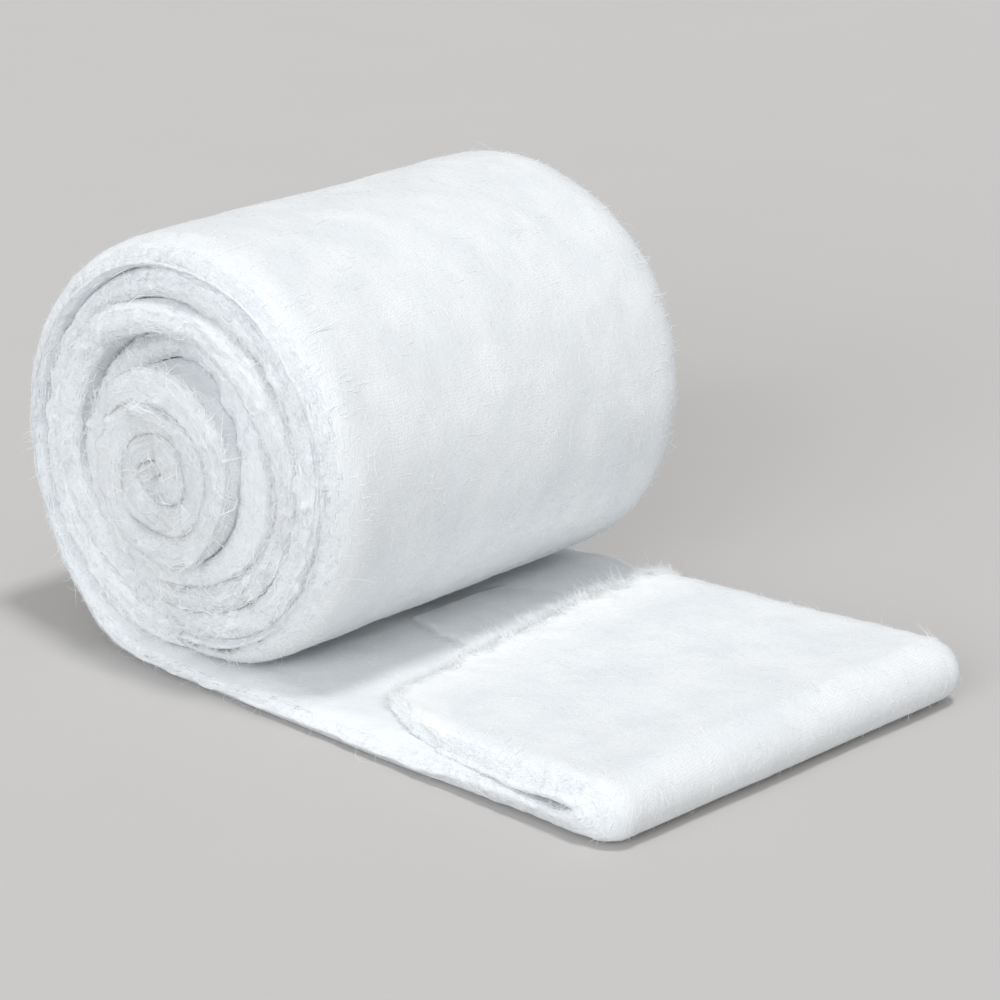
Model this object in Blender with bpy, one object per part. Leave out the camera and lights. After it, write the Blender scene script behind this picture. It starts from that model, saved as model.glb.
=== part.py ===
"""A roll of absorbent cotton wool padding in a thin gauze cover.

One long pad is wound on itself, with no core, into a roll that lies on its side.
Its loose end runs out flat on the floor from under the roll and is doubled back on
itself, and it ends in a torn edge that faces the roll.

Frame: the origin is on the floor below the roll's axis, halfway along the roll.
+X points along the loose end, +Y along the axis to the roll's back end, +Z up.
Lengths are in metres, and angles along the winding are in turns.
"""
import math

import bmesh
import bpy
import numpy as np

# The pad
STRIP_WIDTH = 0.200
LAYER_GAP = 0.0005

# The winding. A turn starts below the axis and runs over the -X side, the top and +X.
ROLL_RADIUS = 0.0953
AXIS_HEIGHT = 0.0883
PITCH = 0.012
TURNS = 7.6
STEPS_PER_TURN = 30
HEART_RADIUS = 0.0008
OVAL = 0.0203
OVAL_TILT = -0.24
CONE = 0.0123

# The roll's weight presses its first turns flat below the axis, at these heights
PRESSED_HEIGHTS = (0.0, 0.0080, 0.0190)
PRESSED_BLEND = 0.002

# How far the pad has slid along the axis towards -Y while it was wound
SLIDE_TURNS = (0.0, 1.0, 1.15, 1.28, 1.42, 1.55, 1.75, 2.10, 2.30, 2.42, 2.55, 2.75,
               3.00, 3.15, 3.28, 3.44, 3.55, 3.70, 3.90, 4.20, 4.45, 5.0, 7.6)
SLIDES = (0.0, 0.0, -0.001, -0.004, -0.0045, -0.001, 0.001, 0.0, 0.003, 0.006, 0.005, 0.003,
          0.002, 0.0, -0.006, -0.007, -0.001, 0.003, 0.003, 0.007, 0.010, 0.011, 0.011)

# The loose end: its lower layer, the fold and the layer that is doubled back
FOLD_HEIGHT = 0.024
FOLD_X = 0.2335
FOLD_SLOT_RADIUS = 0.0015
FOLD_SLOT_X = 0.2185
LOOSE_SPREAD = 0.045
TAIL_TOP_X = (0.0, 0.020, 0.030, 0.040, 0.054, 0.160, 0.185, 0.205, FOLD_SLOT_X)
TAIL_TOP_Z = (0.0075, 0.0075, 0.0082, 0.0100, 0.0106, 0.0107, 0.0100, 0.0100, 0.0105)
FLAP_UNDER_X = (0.060, 0.160, 0.185, 0.205, FOLD_SLOT_X)
FLAP_UNDER_Z = (0.0112, 0.0112, 0.0125, 0.0134, 0.0135)
FLAP_TOP_X = (0.078, 0.107, 0.146, 0.180, 0.2215)
FLAP_TOP_Z = (0.0142, 0.0163, 0.0187, 0.0205, FOLD_HEIGHT)

# The torn edge in plan, from the front edge of the pad to its back edge
TORN_Y = (-0.100, -0.097, -0.092, -0.084, -0.033, 0.030, 0.084, 0.100)
TORN_X = (0.141, 0.128, 0.115, 0.103, 0.0900, 0.0805, 0.0780, 0.0820)
TORN_ROUND = 0.014
TORN_THINNEST = 0.20

# Stations along the flat parts of the pad
FLAP_STATIONS = 13
FLAP_SPACING = 1.7
FOLD_STATIONS = 10
TAIL_STATIONS = 18

# Across the pad: distance from its edge, and how far each face sinks to the other there
# on the outermost turn, the turns inside it, the lower layer and the doubled one, whose
# edge also hangs down
EDGE_INSETS = (0.0, 0.003, 0.008, 0.016)
ROLL_DROPS = {"outer": (0.75, 0.52, 0.22, 0.0), "inner": (0.17, 0.05, 0.0, 0.0)}
WOUND_DROPS = {"outer": (0.40, 0.20, 0.06, 0.0), "inner": (0.17, 0.05, 0.0, 0.0)}
TAIL_DROPS = {"outer": (0.20, 0.06, 0.0, 0.0), "inner": (0.50, 0.25, 0.06, 0.0)}
FLAP_DROPS = {"outer": (0.60, 0.32, 0.10, 0.0), "inner": (0.05, 0.0, 0.0, 0.0)}
FLAP_DROOPS = (0.0042, 0.0023, 0.0006, 0.0)
DROOP_BLEND = 0.5
MIDDLE_COLUMNS = (0.335, 0.650)
EDGE_BLEND_TURNS = 0.2

COTTON_WHITE = (0.83, 0.86, 0.87, 1.0)


def lerp(start, end, share):
    return start + (end - start) * share


def smooth_step(share):
    share = min(max(share, 0.0), 1.0)
    return share * share * (3.0 - 2.0 * share)


def smooth_max(value, floor, blend):
    """The larger of two heights, with the corner between them rounded off."""
    near = max(blend - abs(value - floor), 0.0)
    return max(value, floor) + near * near / (4.0 * blend)


def eased(x, rows_x, rows_y):
    """Value between the rows of a table, flat at each row."""
    index = int(np.searchsorted(rows_x, x, side="right")) - 1
    index = min(max(index, 0), len(rows_x) - 2)
    share = (x - rows_x[index]) / (rows_x[index + 1] - rows_x[index])
    return lerp(rows_y[index], rows_y[index + 1], smooth_step(share))


def wound_outer(turns, y):
    """Point (x, z) of the pad's outer face, turns into the winding."""
    angle = 2.0 * math.pi * turns
    radius = ROLL_RADIUS - PITCH * turns
    radius *= 1.0 - OVAL * math.cos(2.0 * (angle - OVAL_TILT))
    radius *= 1.0 - CONE * y / (STRIP_WIDTH / 2.0)
    x = -radius * math.sin(angle)
    z = AXIS_HEIGHT - radius * math.cos(angle)
    nearest = round(turns)
    if nearest < len(PRESSED_HEIGHTS):
        z = smooth_max(z, PRESSED_HEIGHTS[nearest], PRESSED_BLEND)
    return x, z


def wound_inner(turns, y):
    """Point (x, z) of the pad's inner face: just outside the next turn."""
    angle = 2.0 * math.pi * turns
    if ROLL_RADIUS - PITCH * (turns + 1.0) > HEART_RADIUS:
        x, z = wound_outer(turns + 1.0, y)
        reach = math.hypot(x, z - AXIS_HEIGHT)
        grow = max(reach + LAYER_GAP, HEART_RADIUS) / reach
        return x * grow, AXIS_HEIGHT + (z - AXIS_HEIGHT) * grow
    return -HEART_RADIUS * math.sin(angle), AXIS_HEIGHT - HEART_RADIUS * math.cos(angle)


def tail_faces(share, y):
    """Lower layer of the loose end, from the fold (0) to below the axis (1)."""
    outer_x = lerp(FOLD_X - FOLD_HEIGHT / 2.0, 0.0, share)
    inner_x = lerp(FOLD_SLOT_X, 0.0, share)
    top = float(np.interp(inner_x, TAIL_TOP_X, TAIL_TOP_Z))
    return (outer_x, 0.0), (inner_x, top)


def fold_faces(share, y):
    """The fold, from the top of the doubled layer (0) round to the floor (1)."""
    angle = math.pi * (1.0 - share)
    radius = FOLD_HEIGHT / 2.0
    outer = (FOLD_X - radius + radius * math.sin(angle), radius - radius * math.cos(angle))
    inner = (FOLD_SLOT_X + FOLD_SLOT_RADIUS * math.sin(angle),
             radius - FOLD_SLOT_RADIUS * math.cos(angle))
    return outer, inner


def flap_faces(share, y):
    """The layer doubled back, from its torn edge (0) to the fold (1)."""
    torn_x = float(np.interp(y, TORN_Y, TORN_X))
    outer_x = lerp(torn_x, FOLD_X - FOLD_HEIGHT / 2.0, share)
    inner_x = lerp(torn_x, FOLD_SLOT_X, share)
    under = float(np.interp(inner_x, FLAP_UNDER_X, FLAP_UNDER_Z))
    top = float(np.interp(outer_x, FLAP_TOP_X, FLAP_TOP_Z))
    near = min((outer_x - torn_x) / TORN_ROUND, 1.0)
    swell = lerp(TORN_THINNEST, 1.0, math.sqrt(near * (2.0 - near)))
    return (outer_x, under + (top - under) * swell), (inner_x, under)


def wound_faces(turns, y):
    """The winding, from below the axis (0) to the heart of the roll."""
    return wound_outer(turns, y), wound_inner(turns, y)


def stations():
    """Each station along the pad, as the part of the path it is on and its place there."""
    rows = []
    for i in range(FLAP_STATIONS):
        rows.append((flap_faces, (i / FLAP_STATIONS) ** FLAP_SPACING))
    for i in range(FOLD_STATIONS):
        rows.append((fold_faces, i / FOLD_STATIONS))
    for i in range(TAIL_STATIONS):
        rows.append((tail_faces, i / TAIL_STATIONS))
    steps = round(TURNS * STEPS_PER_TURN)
    for i in range(steps + 1):
        rows.append((wound_faces, TURNS * i / steps))
    return rows


def columns():
    """Distance of each column from the front edge, with its row in the edge tables."""
    front = [(inset, row) for row, inset in enumerate(EDGE_INSETS)]
    middle = [(share * STRIP_WIDTH, len(EDGE_INSETS) - 1) for share in MIDDLE_COLUMNS]
    back = [(STRIP_WIDTH - inset, row) for inset, row in reversed(front)]
    return front + middle + back


def edge_section(faces, place, row, side):
    """How far one face sinks to the other in one column, and how far both hang down."""
    if faces is wound_faces:
        rolled = smooth_step(place / EDGE_BLEND_TURNS)
        covered = smooth_step((place - 1.0) / EDGE_BLEND_TURNS)
        drop = lerp(TAIL_DROPS[side][row], ROLL_DROPS[side][row], rolled)
        return lerp(drop, WOUND_DROPS[side][row], covered), 0.0
    if faces is tail_faces:
        return TAIL_DROPS[side][row], 0.0
    if faces is fold_faces:
        turned = smooth_step(place)
        return lerp(FLAP_DROPS[side][row], TAIL_DROPS[side][row], turned), 0.0
    hanging = smooth_step((1.0 - place) / DROOP_BLEND)
    return FLAP_DROPS[side][row], FLAP_DROOPS[row] * hanging


def place_point(faces, place, across, row, side):
    """World position of one point of the pad."""
    flat_y = across - STRIP_WIDTH / 2.0
    (outer_x, outer_z), (inner_x, inner_z) = faces(place, flat_y)
    drop, droop = edge_section(faces, place, row, side)
    depth = drop if side == "outer" else 1.0 - drop
    x = lerp(outer_x, inner_x, depth)
    z = lerp(outer_z, inner_z, depth) - droop
    spread = LOOSE_SPREAD
    slide = 0.0
    if faces is wound_faces:
        spread *= 1.0 - smooth_step(place / EDGE_BLEND_TURNS)
        slide = eased(place, SLIDE_TURNS, SLIDES)
    return x, flat_y * (1.0 + spread) - slide, z


def wind_pad(name):
    """A flat pad, drawn out to a grid of stations and columns and then wound."""
    path = stations()
    across = columns()
    mesh = bpy.data.meshes.new(name)
    bm = bmesh.new()
    bmesh.ops.create_grid(bm, x_segments=len(path) - 1, y_segments=len(across) - 1, size=0.5)
    outer_faces = bm.faces[:]
    outer_verts = set(bm.verts)
    bmesh.ops.extrude_face_region(bm, geom=outer_faces, use_keep_orig=True)
    for vert in bm.verts:
        faces, place = path[round((vert.co.x + 0.5) * (len(path) - 1))]
        distance, row = across[round((vert.co.y + 0.5) * (len(across) - 1))]
        side = "outer" if vert in outer_verts else "inner"
        vert.co = place_point(faces, place, distance, row, side)
    bmesh.ops.recalc_face_normals(bm, faces=bm.faces[:])
    bm.to_mesh(mesh)
    bm.free()
    mesh.shade_smooth()
    return bpy.data.objects.new(name, mesh)


def cotton_material():
    """Bleached cotton: matt, with no gloss and no colour of its own."""
    material = bpy.data.materials.new("bleached_cotton")
    material.use_nodes = True
    shader = material.node_tree.nodes["Principled BSDF"]
    shader.inputs["Base Color"].default_value = COTTON_WHITE
    shader.inputs["Roughness"].default_value = 0.95
    shader.inputs["Metallic"].default_value = 0.0
    material.diffuse_color = COTTON_WHITE
    return material


def main():
    for old in list(bpy.data.objects):
        bpy.data.objects.remove(old, do_unlink=True)
    collection = bpy.data.collections.new("wadding_roll")
    bpy.context.scene.collection.children.link(collection)
    pad = wind_pad("wadding_strip")
    pad.data.materials.append(cotton_material())
    collection.objects.link(pad)


main()
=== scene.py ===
# %% [markdown]
# # A roll of cotton wool padding in a gauze cover
#
# The real thing is one long pad: a soft web of absorbent cotton wool inside a thin
# cotton gauze. It is wound on itself into a roll, and its loose end is doubled back
# and torn off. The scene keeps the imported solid's size and path, and gives it a fine
# surface: puffed edges, creases, loose fibres, frayed gauze and a woven cover.

# %% Load the frame
import math

import bpy
import numpy as np
from mathutils import Matrix, Vector


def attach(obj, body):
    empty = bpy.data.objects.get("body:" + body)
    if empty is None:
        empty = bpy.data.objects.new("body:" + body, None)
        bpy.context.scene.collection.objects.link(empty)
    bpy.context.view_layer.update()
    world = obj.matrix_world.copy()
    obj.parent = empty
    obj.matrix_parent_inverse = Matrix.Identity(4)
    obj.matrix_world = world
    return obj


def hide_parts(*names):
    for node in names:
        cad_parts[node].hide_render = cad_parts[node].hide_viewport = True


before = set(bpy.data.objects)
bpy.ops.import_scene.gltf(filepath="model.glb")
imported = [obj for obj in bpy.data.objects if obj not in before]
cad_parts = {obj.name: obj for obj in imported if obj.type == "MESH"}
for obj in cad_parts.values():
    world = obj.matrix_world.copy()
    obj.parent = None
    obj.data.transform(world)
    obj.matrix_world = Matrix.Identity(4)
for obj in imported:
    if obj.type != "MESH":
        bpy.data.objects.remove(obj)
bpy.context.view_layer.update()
SOLID = "wadding_strip"

# %% [markdown]
# ## The path of the pad
#
# The pad could be modelled flat and bent by a curve modifier, but its turns must press
# on each other and lie flat on the floor. So its two faces are worked out as functions
# of one number, the path: 0 to 1 along the doubled layer from its torn edge, 1 to 2
# round the fold, 2 to 3 along the lower layer, and from 3 on the turns of the roll.
# The sizes are those of the solid. Tables give a height or a shift in millimetres for
# a place in millimetres; SLIDES and LOOSE_SPREAD are looked up by turn and by path.

# %% Sizes of the roll
MM = 0.001
STRIP_WIDTH = 200 * MM
HALF_WIDTH = STRIP_WIDTH / 2
ROLL_RADIUS = 95.3 * MM
AXIS_HEIGHT = 88.3 * MM
PITCH = 12 * MM
TURNS = 7.6
HEART_RADIUS = 0.8 * MM  # no turn is narrower
HEART_SHIFT = (-2.5 * MM, -3.5 * MM)  # the inner turns have sagged to one side
SAG_START, SAG_BLEND = 3.2, 1.3  # from this turn on, and over how many turns
OVAL, OVAL_TILT = 0.0203, -0.24  # share wider than a circle, and radians
CONE = 0.0123  # share by which the back end is narrower
PRESSED = {0.5: 0.0, 1.5: 8 * MM, 2.5: 19 * MM}  # up to this turn, flat at this height
PRESSED_BLEND = 2 * MM
UNEVEN_START, UNEVEN_BLEND = 1.2, 0.8
WOUND_UNEVENLY = ((1.1, 1.37, 0.7), (0.8, 2.61, 2.1), (0.5, 4.3, 0.0))  # mm, rate, phase
SLID_UNEVENLY = ((0.7, 17.3, 1.0), (0.5, 29.0, 0.0))
SLIDES = {0: 0, 1: 0, 1.15: -1, 1.28: -4, 1.42: -4.5, 1.55: -1, 1.75: 1, 2.1: 0, 2.3: 3,
          2.42: 6, 2.55: 5, 2.75: 3, 3: 2, 3.15: 0, 3.28: -6, 3.44: -7.5, 3.54: -6,
          3.62: 0, 3.75: 3, 3.9: 3, 4.2: 6, 4.45: 10, 5: 11, 7.6: 11}
print("roll", round(2 * ROLL_RADIUS / MM, 1), "mm across,", TURNS, "turns")

# %% Sizes of the loose end
FOLD_HEIGHT = 24 * MM
FOLD_X = 233.5 * MM
SLOT_RADIUS = 0.3 * MM
SLOT_X = 211 * MM
LOOSE_SPREAD = {0: -20, 0.7: 40, 1: 45, 3: 45, 3.2: 0}  # path: thousandths of the width
TAIL_TOP = {0: 7.5, 20: 7.5, 30: 8.2, 40: 10.0, 54: 10.6, 160: 10.7, 185: 10.0, 203: 9.9,
            211: 11.7}
FLAP_UNDER = {60: 10.8, 160: 10.9, 185: 12.0, 198: 12.8, 205: 12.6, 211: 12.3}
FLAP_TOP = {78: 15.6, 107: 17.0, 146: 18.8, 180: 20.5, 221.5: 24.0}
TORN_EDGE = {-100: 136, -97: 122, -92: 110, -84: 99, -76: 95, -33: 89, 30: 80.5, 84: 78,
             100: 82}
TORN_RAGS = ((1.8, 11, 3), (1.0, 4.5, 4))  # height in mm, size in mm, seed
TORN_TAPER = 6 * MM
TORN_SWELL = (0.55, 1.1)  # thickness at the torn edge and behind it, as a share
print("fold", round(FOLD_X / MM, 1), "mm from under the roll's axis")

# %% [markdown]
# ## Small functions
#
# Everything soft here is made of a few things: a blend, an eased blend, a table, waves
# and noise. Blender has textures of its own, but noise in numpy moves a million points
# at once and is the same on every machine.

# %% Blends, tables and noise
HASH_PRIMES = (73856093, 19349663, 83492791)  # large odd numbers that scramble a cell's
SEED_PRIME, SCRAMBLE = 7919, 1274126177  # place and seed into a chance value


def mix(start, end, share):
    """The value at this share of the way from start to end."""
    return start + (end - start) * share


def ease(share):
    """From 0 to 1 with a soft start and end."""
    share = np.clip(share, 0.0, 1.0)
    return share * share * (3.0 - 2.0 * share)


def from_table(x, table, step=MM):
    """A table's value at x, both in steps: millimetres unless told otherwise."""
    return np.interp(x / step, list(table), list(table.values())) * MM


def waves(at, rows):
    """A sum of sine waves, each with its height, its rate and its phase."""
    return sum(height * np.sin(rate * at + phase) for height, rate, phase in rows)


def value_noise(points, size, seed):
    """Smooth noise from -1 to 1, its lumps size metres across."""
    scaled = np.asarray(points, dtype=float) / size
    cell = np.floor(scaled).astype(np.int64)
    share = ease(scaled - cell)
    total = np.zeros(scaled.shape[:-1])
    for corner in np.ndindex(2, 2, 2):
        key = (cell + np.array(corner)) * HASH_PRIMES
        mixed = key[..., 0] ^ key[..., 1] ^ key[..., 2]
        mixed = (mixed + seed * SEED_PRIME) & 0xFFFFFFFF
        mixed = ((mixed ^ (mixed >> 13)) * SCRAMBLE) & 0xFFFFFFFF
        value = ((mixed ^ (mixed >> 16)) & 0xFFFF) / 32767.5 - 1.0
        total += value * np.prod(np.where(corner, share, 1.0 - share), axis=-1)
    return total


def lumpy(points, layers):
    """Noise of several sizes: each layer is its height, its lumps' size in mm and its seed."""
    return sum(height * value_noise(points, size * MM, seed) for height, size, seed in layers)


def lumpy_line(x, layers):
    """The same along a line, for a ragged edge."""
    return lumpy(np.stack([x, np.zeros_like(x), np.zeros_like(x)], axis=-1), layers)


print("noise every 4 mm", lumpy_line(np.arange(6) * 4 * MM, ((1, 10, 1),)).round(2))

# %% [markdown]
# ## The turns and the loose end
#
# A wound pad is a spiral, and this one is not a clean one. It is a little oval and
# narrower at one end, its turns are flat where they press on the floor, and from the
# second turn on they are wound less evenly. The face that looks away from the axis is
# a function of the turn and the place across; the inner face is the same, one turn
# further in, so that no two turns can cross.

# %% Faces of the pad
def wound_less_evenly(turns):
    """0 in the outermost turn, 1 from the second on."""
    return ease((turns - UNEVEN_START) / UNEVEN_BLEND)


def smooth_max(value, floor, blend):
    """The larger of two heights, with a soft bend where they meet."""
    near = np.maximum(blend - np.abs(value - floor), 0.0)
    return np.maximum(value, floor) + near * near / (4.0 * blend)


def wound_face(turns, y):
    """The face of the pad that looks away from the axis, as x and z."""
    angle = 2.0 * math.pi * turns
    uneven = waves(angle, WOUND_UNEVENLY) * MM * wound_less_evenly(turns)
    radius = np.maximum(ROLL_RADIUS - PITCH * turns + uneven, HEART_RADIUS)
    radius = radius * (1.0 - OVAL * np.cos(2.0 * (angle - OVAL_TILT)))
    radius = radius * (1.0 - CONE * y / HALF_WIDTH)
    sag = ease((turns - SAG_START) / SAG_BLEND)
    x = -radius * np.sin(angle) + HEART_SHIFT[0] * sag
    z = AXIS_HEIGHT - radius * np.cos(angle) + HEART_SHIFT[1] * sag
    floor = np.select([turns < last for last in PRESSED], list(PRESSED.values()), default=-1.0)
    return x, smooth_max(z, floor, PRESSED_BLEND)


def pad_faces(path, y):
    """Outer and inner face of the pad as (x, z), (x, z), for arrays of path and y."""
    radius = FOLD_HEIGHT / 2
    centre_x = FOLD_X - radius
    edge_x = from_table(y, TORN_EDGE) + lumpy_line(y, TORN_RAGS) * MM
    share = np.clip(path, 0, 1)
    top_x, under_x = mix(edge_x, centre_x, share), mix(edge_x, SLOT_X, share)
    under_z = from_table(under_x, FLAP_UNDER)
    near = np.clip((top_x - edge_x) / TORN_TAPER, 0, 1)
    swell = mix(*TORN_SWELL, np.sqrt(near * (2 - near)))
    top_z = under_z + (from_table(top_x, FLAP_TOP) - under_z) * swell
    turn = math.pi * (2 - np.clip(path, 1, 2))
    bend_x, bend_z = centre_x + radius * np.sin(turn), radius - radius * np.cos(turn)
    slot_x, slot_z = SLOT_X + SLOT_RADIUS * np.sin(turn), radius - SLOT_RADIUS * np.cos(turn)
    back = np.clip(path - 2, 0, 1)
    floor_x, tail_x = mix(centre_x, 0, back), mix(SLOT_X, 0, back)
    turns = np.clip(path - 3, 0, None)
    face_x, face_z = wound_face(turns, y)
    rear_x, rear_z = wound_face(turns + 1.0, y)
    part = [path < 1, path < 2, path < 3]
    outer = (np.select(part, [top_x, bend_x, floor_x], face_x),
             np.select(part, [top_z, bend_z, 0 * floor_x], face_z))
    inner = (np.select(part, [under_x, slot_x, tail_x], rear_x),
             np.select(part, [under_z, slot_z, from_table(tail_x, TAIL_TOP)], rear_z))
    return outer, inner


top_of_roll = [face[1][0] for face in pad_faces(np.array([3.5]), np.zeros(1))]
print("pad", round((top_of_roll[0] - top_of_roll[1]) / MM, 1), "mm thick at the top of the roll")

# %% [markdown]
# ## The section of the pad
#
# A cut edge of padding is not square: the cover pulls its corners round and the wool
# puffs out between them. Each station of the path gets a ring of points: across the
# outer face, round the back edge, across the inner face and round the front edge. How
# far each face sinks to the other at an edge changes along the path, because the
# outermost turn is stroked round over the roll's shoulder and the turns inside it are
# only held by each other.

# %% Shape of the edges
EDGE_STYLES = {  # sink of the outer face and how wide, sink of the inner face and how wide
    "doubled": (0.66, 13 * MM, 0.02, 4 * MM),
    "fold": (0.60, 11 * MM, 0.02, 4 * MM),
    "lower": (0.22, 5 * MM, 0.55, 12 * MM),
    "shoulder": (0.78, 16 * MM, 0.10, 3 * MM),
    "wound": (0.34, 5 * MM, 0.24, 4 * MM),
    "core": (0.05, 1.2 * MM, 0.04, 1.0 * MM),
}
CORE_START, CORE_BLEND = 6.2, 0.9
STYLE_CHANGES = (  # the path at which each next style starts, and how gradually
    ("fold", 0.5, 0.5), ("lower", 2.1, 0.4), ("shoulder", 3, 0.2), ("wound", 3.95, 0.15),
    ("core", CORE_START, CORE_BLEND))
DROOP = 1.4 * MM  # how far the doubled layer's edges hang down
DROOP_WIDTH = 11 * MM
DROOP_PATH = 0.5  # the droop is gone over this much path before the fold
NOSE = 1.2 * MM  # how far the wool puffs out between the corners
NOSE_FLATTER = 0.7  # and how much less it does so in the core
NOSE_POINTS = 10


def edge_style(path):
    """The four edge sizes at each station, blended from one stretch to the next."""
    style = np.array(EDGE_STYLES["doubled"])
    for name, start, length in STYLE_CHANGES:
        style = mix(style, np.array(EDGE_STYLES[name]), ease((path[:, None] - start) / length))
    return style


def sink(inset, amount, width):
    """Share of the thickness by which a face is rounded off this far from the edge."""
    out = 1.0 - np.clip(inset / width, 0.0, 1.0)
    return amount * (1.0 - np.sqrt(1.0 - out * out))


def slide_at(path):
    """How far the pad has slid to the front, with the small unevenness of hand winding."""
    turns = np.clip(path - 3, 0, None)
    keys = np.array(list(SLIDES), dtype=float)
    values = np.array(list(SLIDES.values()), dtype=float)
    index = np.clip(np.searchsorted(keys, turns, side="right") - 1, 0, len(keys) - 2)
    share = ease((turns - keys[index]) / (keys[index + 1] - keys[index]))
    uneven = waves(turns, SLID_UNEVENLY) * wound_less_evenly(turns)
    return (mix(values[index], values[index + 1], share) + uneven) * MM


print("slides by turn, in mm", (slide_at(np.arange(3, 11)) / MM).round(1))

# %% Rings of points round the pad
CROWDING = 1.25  # above 1, columns lie closer together towards the cut edge
FINE_STEPS = 6000


def ring_columns(edge_steps, middle_steps, edge_width=16 * MM):
    """Distances across the pad, closer together at its two edges."""
    edge = edge_width * (np.arange(edge_steps) / edge_steps) ** CROWDING
    middle = np.linspace(edge_width, STRIP_WIDTH - edge_width, middle_steps)
    return np.concatenate([edge, middle, STRIP_WIDTH - edge[::-1]])


def ring_across(columns):
    """Distance across the pad of each point of a ring."""
    return np.concatenate([columns, np.full(NOSE_POINTS, STRIP_WIDTH),
                           columns[::-1], np.zeros(NOSE_POINTS)])


def pad_points(path, columns):
    """Positions of every ring point, as an array of stations, ring points and x, y, z."""
    across = ring_across(columns)
    y = across[None, :] - HALF_WIDTH
    (outer_x, outer_z), (inner_x, inner_z) = pad_faces(path[:, None], y)
    inset = np.minimum(across, STRIP_WIDTH - across)[None, :]
    outer_sink, outer_wide, inner_sink, inner_wide = edge_style(path).T[:, :, None]
    from_outer = sink(inset, outer_sink, outer_wide)
    from_inner = 1.0 - sink(inset, inner_sink, inner_wide)
    bulge = (np.arange(NOSE_POINTS) + 1) / (NOSE_POINTS + 1)
    count = len(columns)
    blend = np.concatenate([np.zeros(count), bulge, np.ones(count), 1.0 - bulge])[None, :]
    depth = mix(from_outer, from_inner, blend)
    flatter = 1.0 - NOSE_FLATTER * ease((path[:, None] - CORE_START) / CORE_BLEND)
    nose = NOSE * flatter * np.sin(math.pi * blend) * np.sign(y)
    x = mix(outer_x, inner_x, depth)
    limp = ease((1.0 - path) / DROOP_PATH)[:, None]
    hanging = limp * np.clip(1.0 - inset / DROOP_WIDTH, 0.0, 1.0) ** 1.6
    z = mix(outer_z, inner_z, depth) - DROOP * hanging
    spread = 1.0 + from_table(path, LOOSE_SPREAD, step=1)[:, None]
    y = y * spread + nose - slide_at(path)[:, None]
    return np.stack([x, y + 0 * x, z], axis=-1)


def even_path(start, end, spacing):
    """Path values whose stations lie evenly spaced along the middle of the pad."""
    fine = np.linspace(start, end, FINE_STEPS)
    (ax, az), (bx, bz) = pad_faces(fine, np.zeros_like(fine))
    mid = np.stack([(ax + bx) / 2, (az + bz) / 2], axis=-1)
    steps = np.linalg.norm(np.diff(mid, axis=0), axis=1)
    length = np.concatenate([[0.0], np.cumsum(steps)])
    stations = int(round(length[-1] / spacing)) + 1
    at = np.linspace(0, length[-1], stations)
    return np.interp(at, length, fine), at


whole_length = even_path(0.0, 3 + TURNS, 1 * MM)[1][-1]
print("the strip is", round(float(whole_length), 3), "m long")

# %% [markdown]
# ## Relief of the soft surface
#
# Cotton wool has no hard form: the cover is dented where fingers pressed it, the wool
# lies in small lumps, and the cut edges are the most uneven. A sculpted mesh or a cloth
# simulation could give this, but noise of a few known sizes, pushed along the surface's
# normals, is quick and gives the same result each run.

# %% Normals and relief
DENTS = ((0.52, 36, 11), (0.30, 15, 12))  # height in mm, size in mm, seed
LUMPS = ((0.20, 6.5, 13), (0.12, 3.2, 14))
EDGE_LUMPS = ((0.55, 10, 15), (0.32, 4.6, 16), (0.18, 2.3, 18))
TORN_CLOUDS = ((0.9, 7, 19), (0.5, 3.6, 20))
EDGE_WIDTH = 14 * MM
DENTS_LOST = 0.6  # share of the dents that is gone at a cut edge
PIT_SIZE, PIT_SEED = 5 * MM, 17
PIT_LEVEL, PIT_DEPTH = 0.30, 3.6
WOUND_START, WOUND_BLEND = 3.9, 0.2  # path from which the wound ends are pitted
TORN_PATH = 0.2  # path up to which the torn end is clouded
UNDERSIDE = 1.5 * MM  # lower than this the pad lies on the floor and is pressed flat
PRESSED_SHARE = 0.2  # and keeps this share of its hollows


def grid_normals(points):
    """Normal at each point of a grid that closes round its ring, facing out."""
    along = np.gradient(points, axis=0)
    around = np.roll(points, -1, axis=1) - np.roll(points, 1, axis=1)
    normal = np.cross(around, along)
    return normal / (np.linalg.norm(normal, axis=-1, keepdims=True) + 1e-12)


def relief(points, inset, path):
    """Height to add along the normals, in metres."""
    edge = 1.0 - ease(inset / EDGE_WIDTH)
    wound = ease((path - WOUND_START) / WOUND_BLEND)[:, None]
    torn = (1.0 - ease(path / TORN_PATH))[:, None]
    pits = np.clip(value_noise(points, PIT_SIZE, PIT_SEED) - PIT_LEVEL, 0, 1) * PIT_DEPTH
    height = lumpy(points, DENTS) * (1 - DENTS_LOST * edge) + lumpy(points, LUMPS)
    height = height + edge * (lumpy(points, EDGE_LUMPS) - wound * pits)
    return (height + torn * lumpy(points, TORN_CLOUDS)) * MM


def with_relief(smooth, inset, path):
    """Points moved along their normals, and not below the floor."""
    height = relief(smooth, inset, path)
    pressed = smooth[..., 2] < UNDERSIDE
    height = np.where(pressed, np.minimum(height, 0.0) * PRESSED_SHARE, height)
    points = smooth + grid_normals(smooth) * height[..., None]
    points[..., 2] = np.maximum(points[..., 2], 0.0)
    return points


deepest = sum(layer[0] for layer in DENTS + LUMPS)
print("dents and lumps up to", round(deepest, 2), "mm")

# %% [markdown]
# ## Colours and a helper for materials
#
# Colours are written as sRGB hex values, as an image editor shows them, and turned
# linear once. One function adds any node with its settings and links, and gives the
# output that the next node takes.

# %% Colour and node helpers
MIX_FROM, MIX_TO = 6, 7  # the two colour sockets of a Mix node


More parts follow.
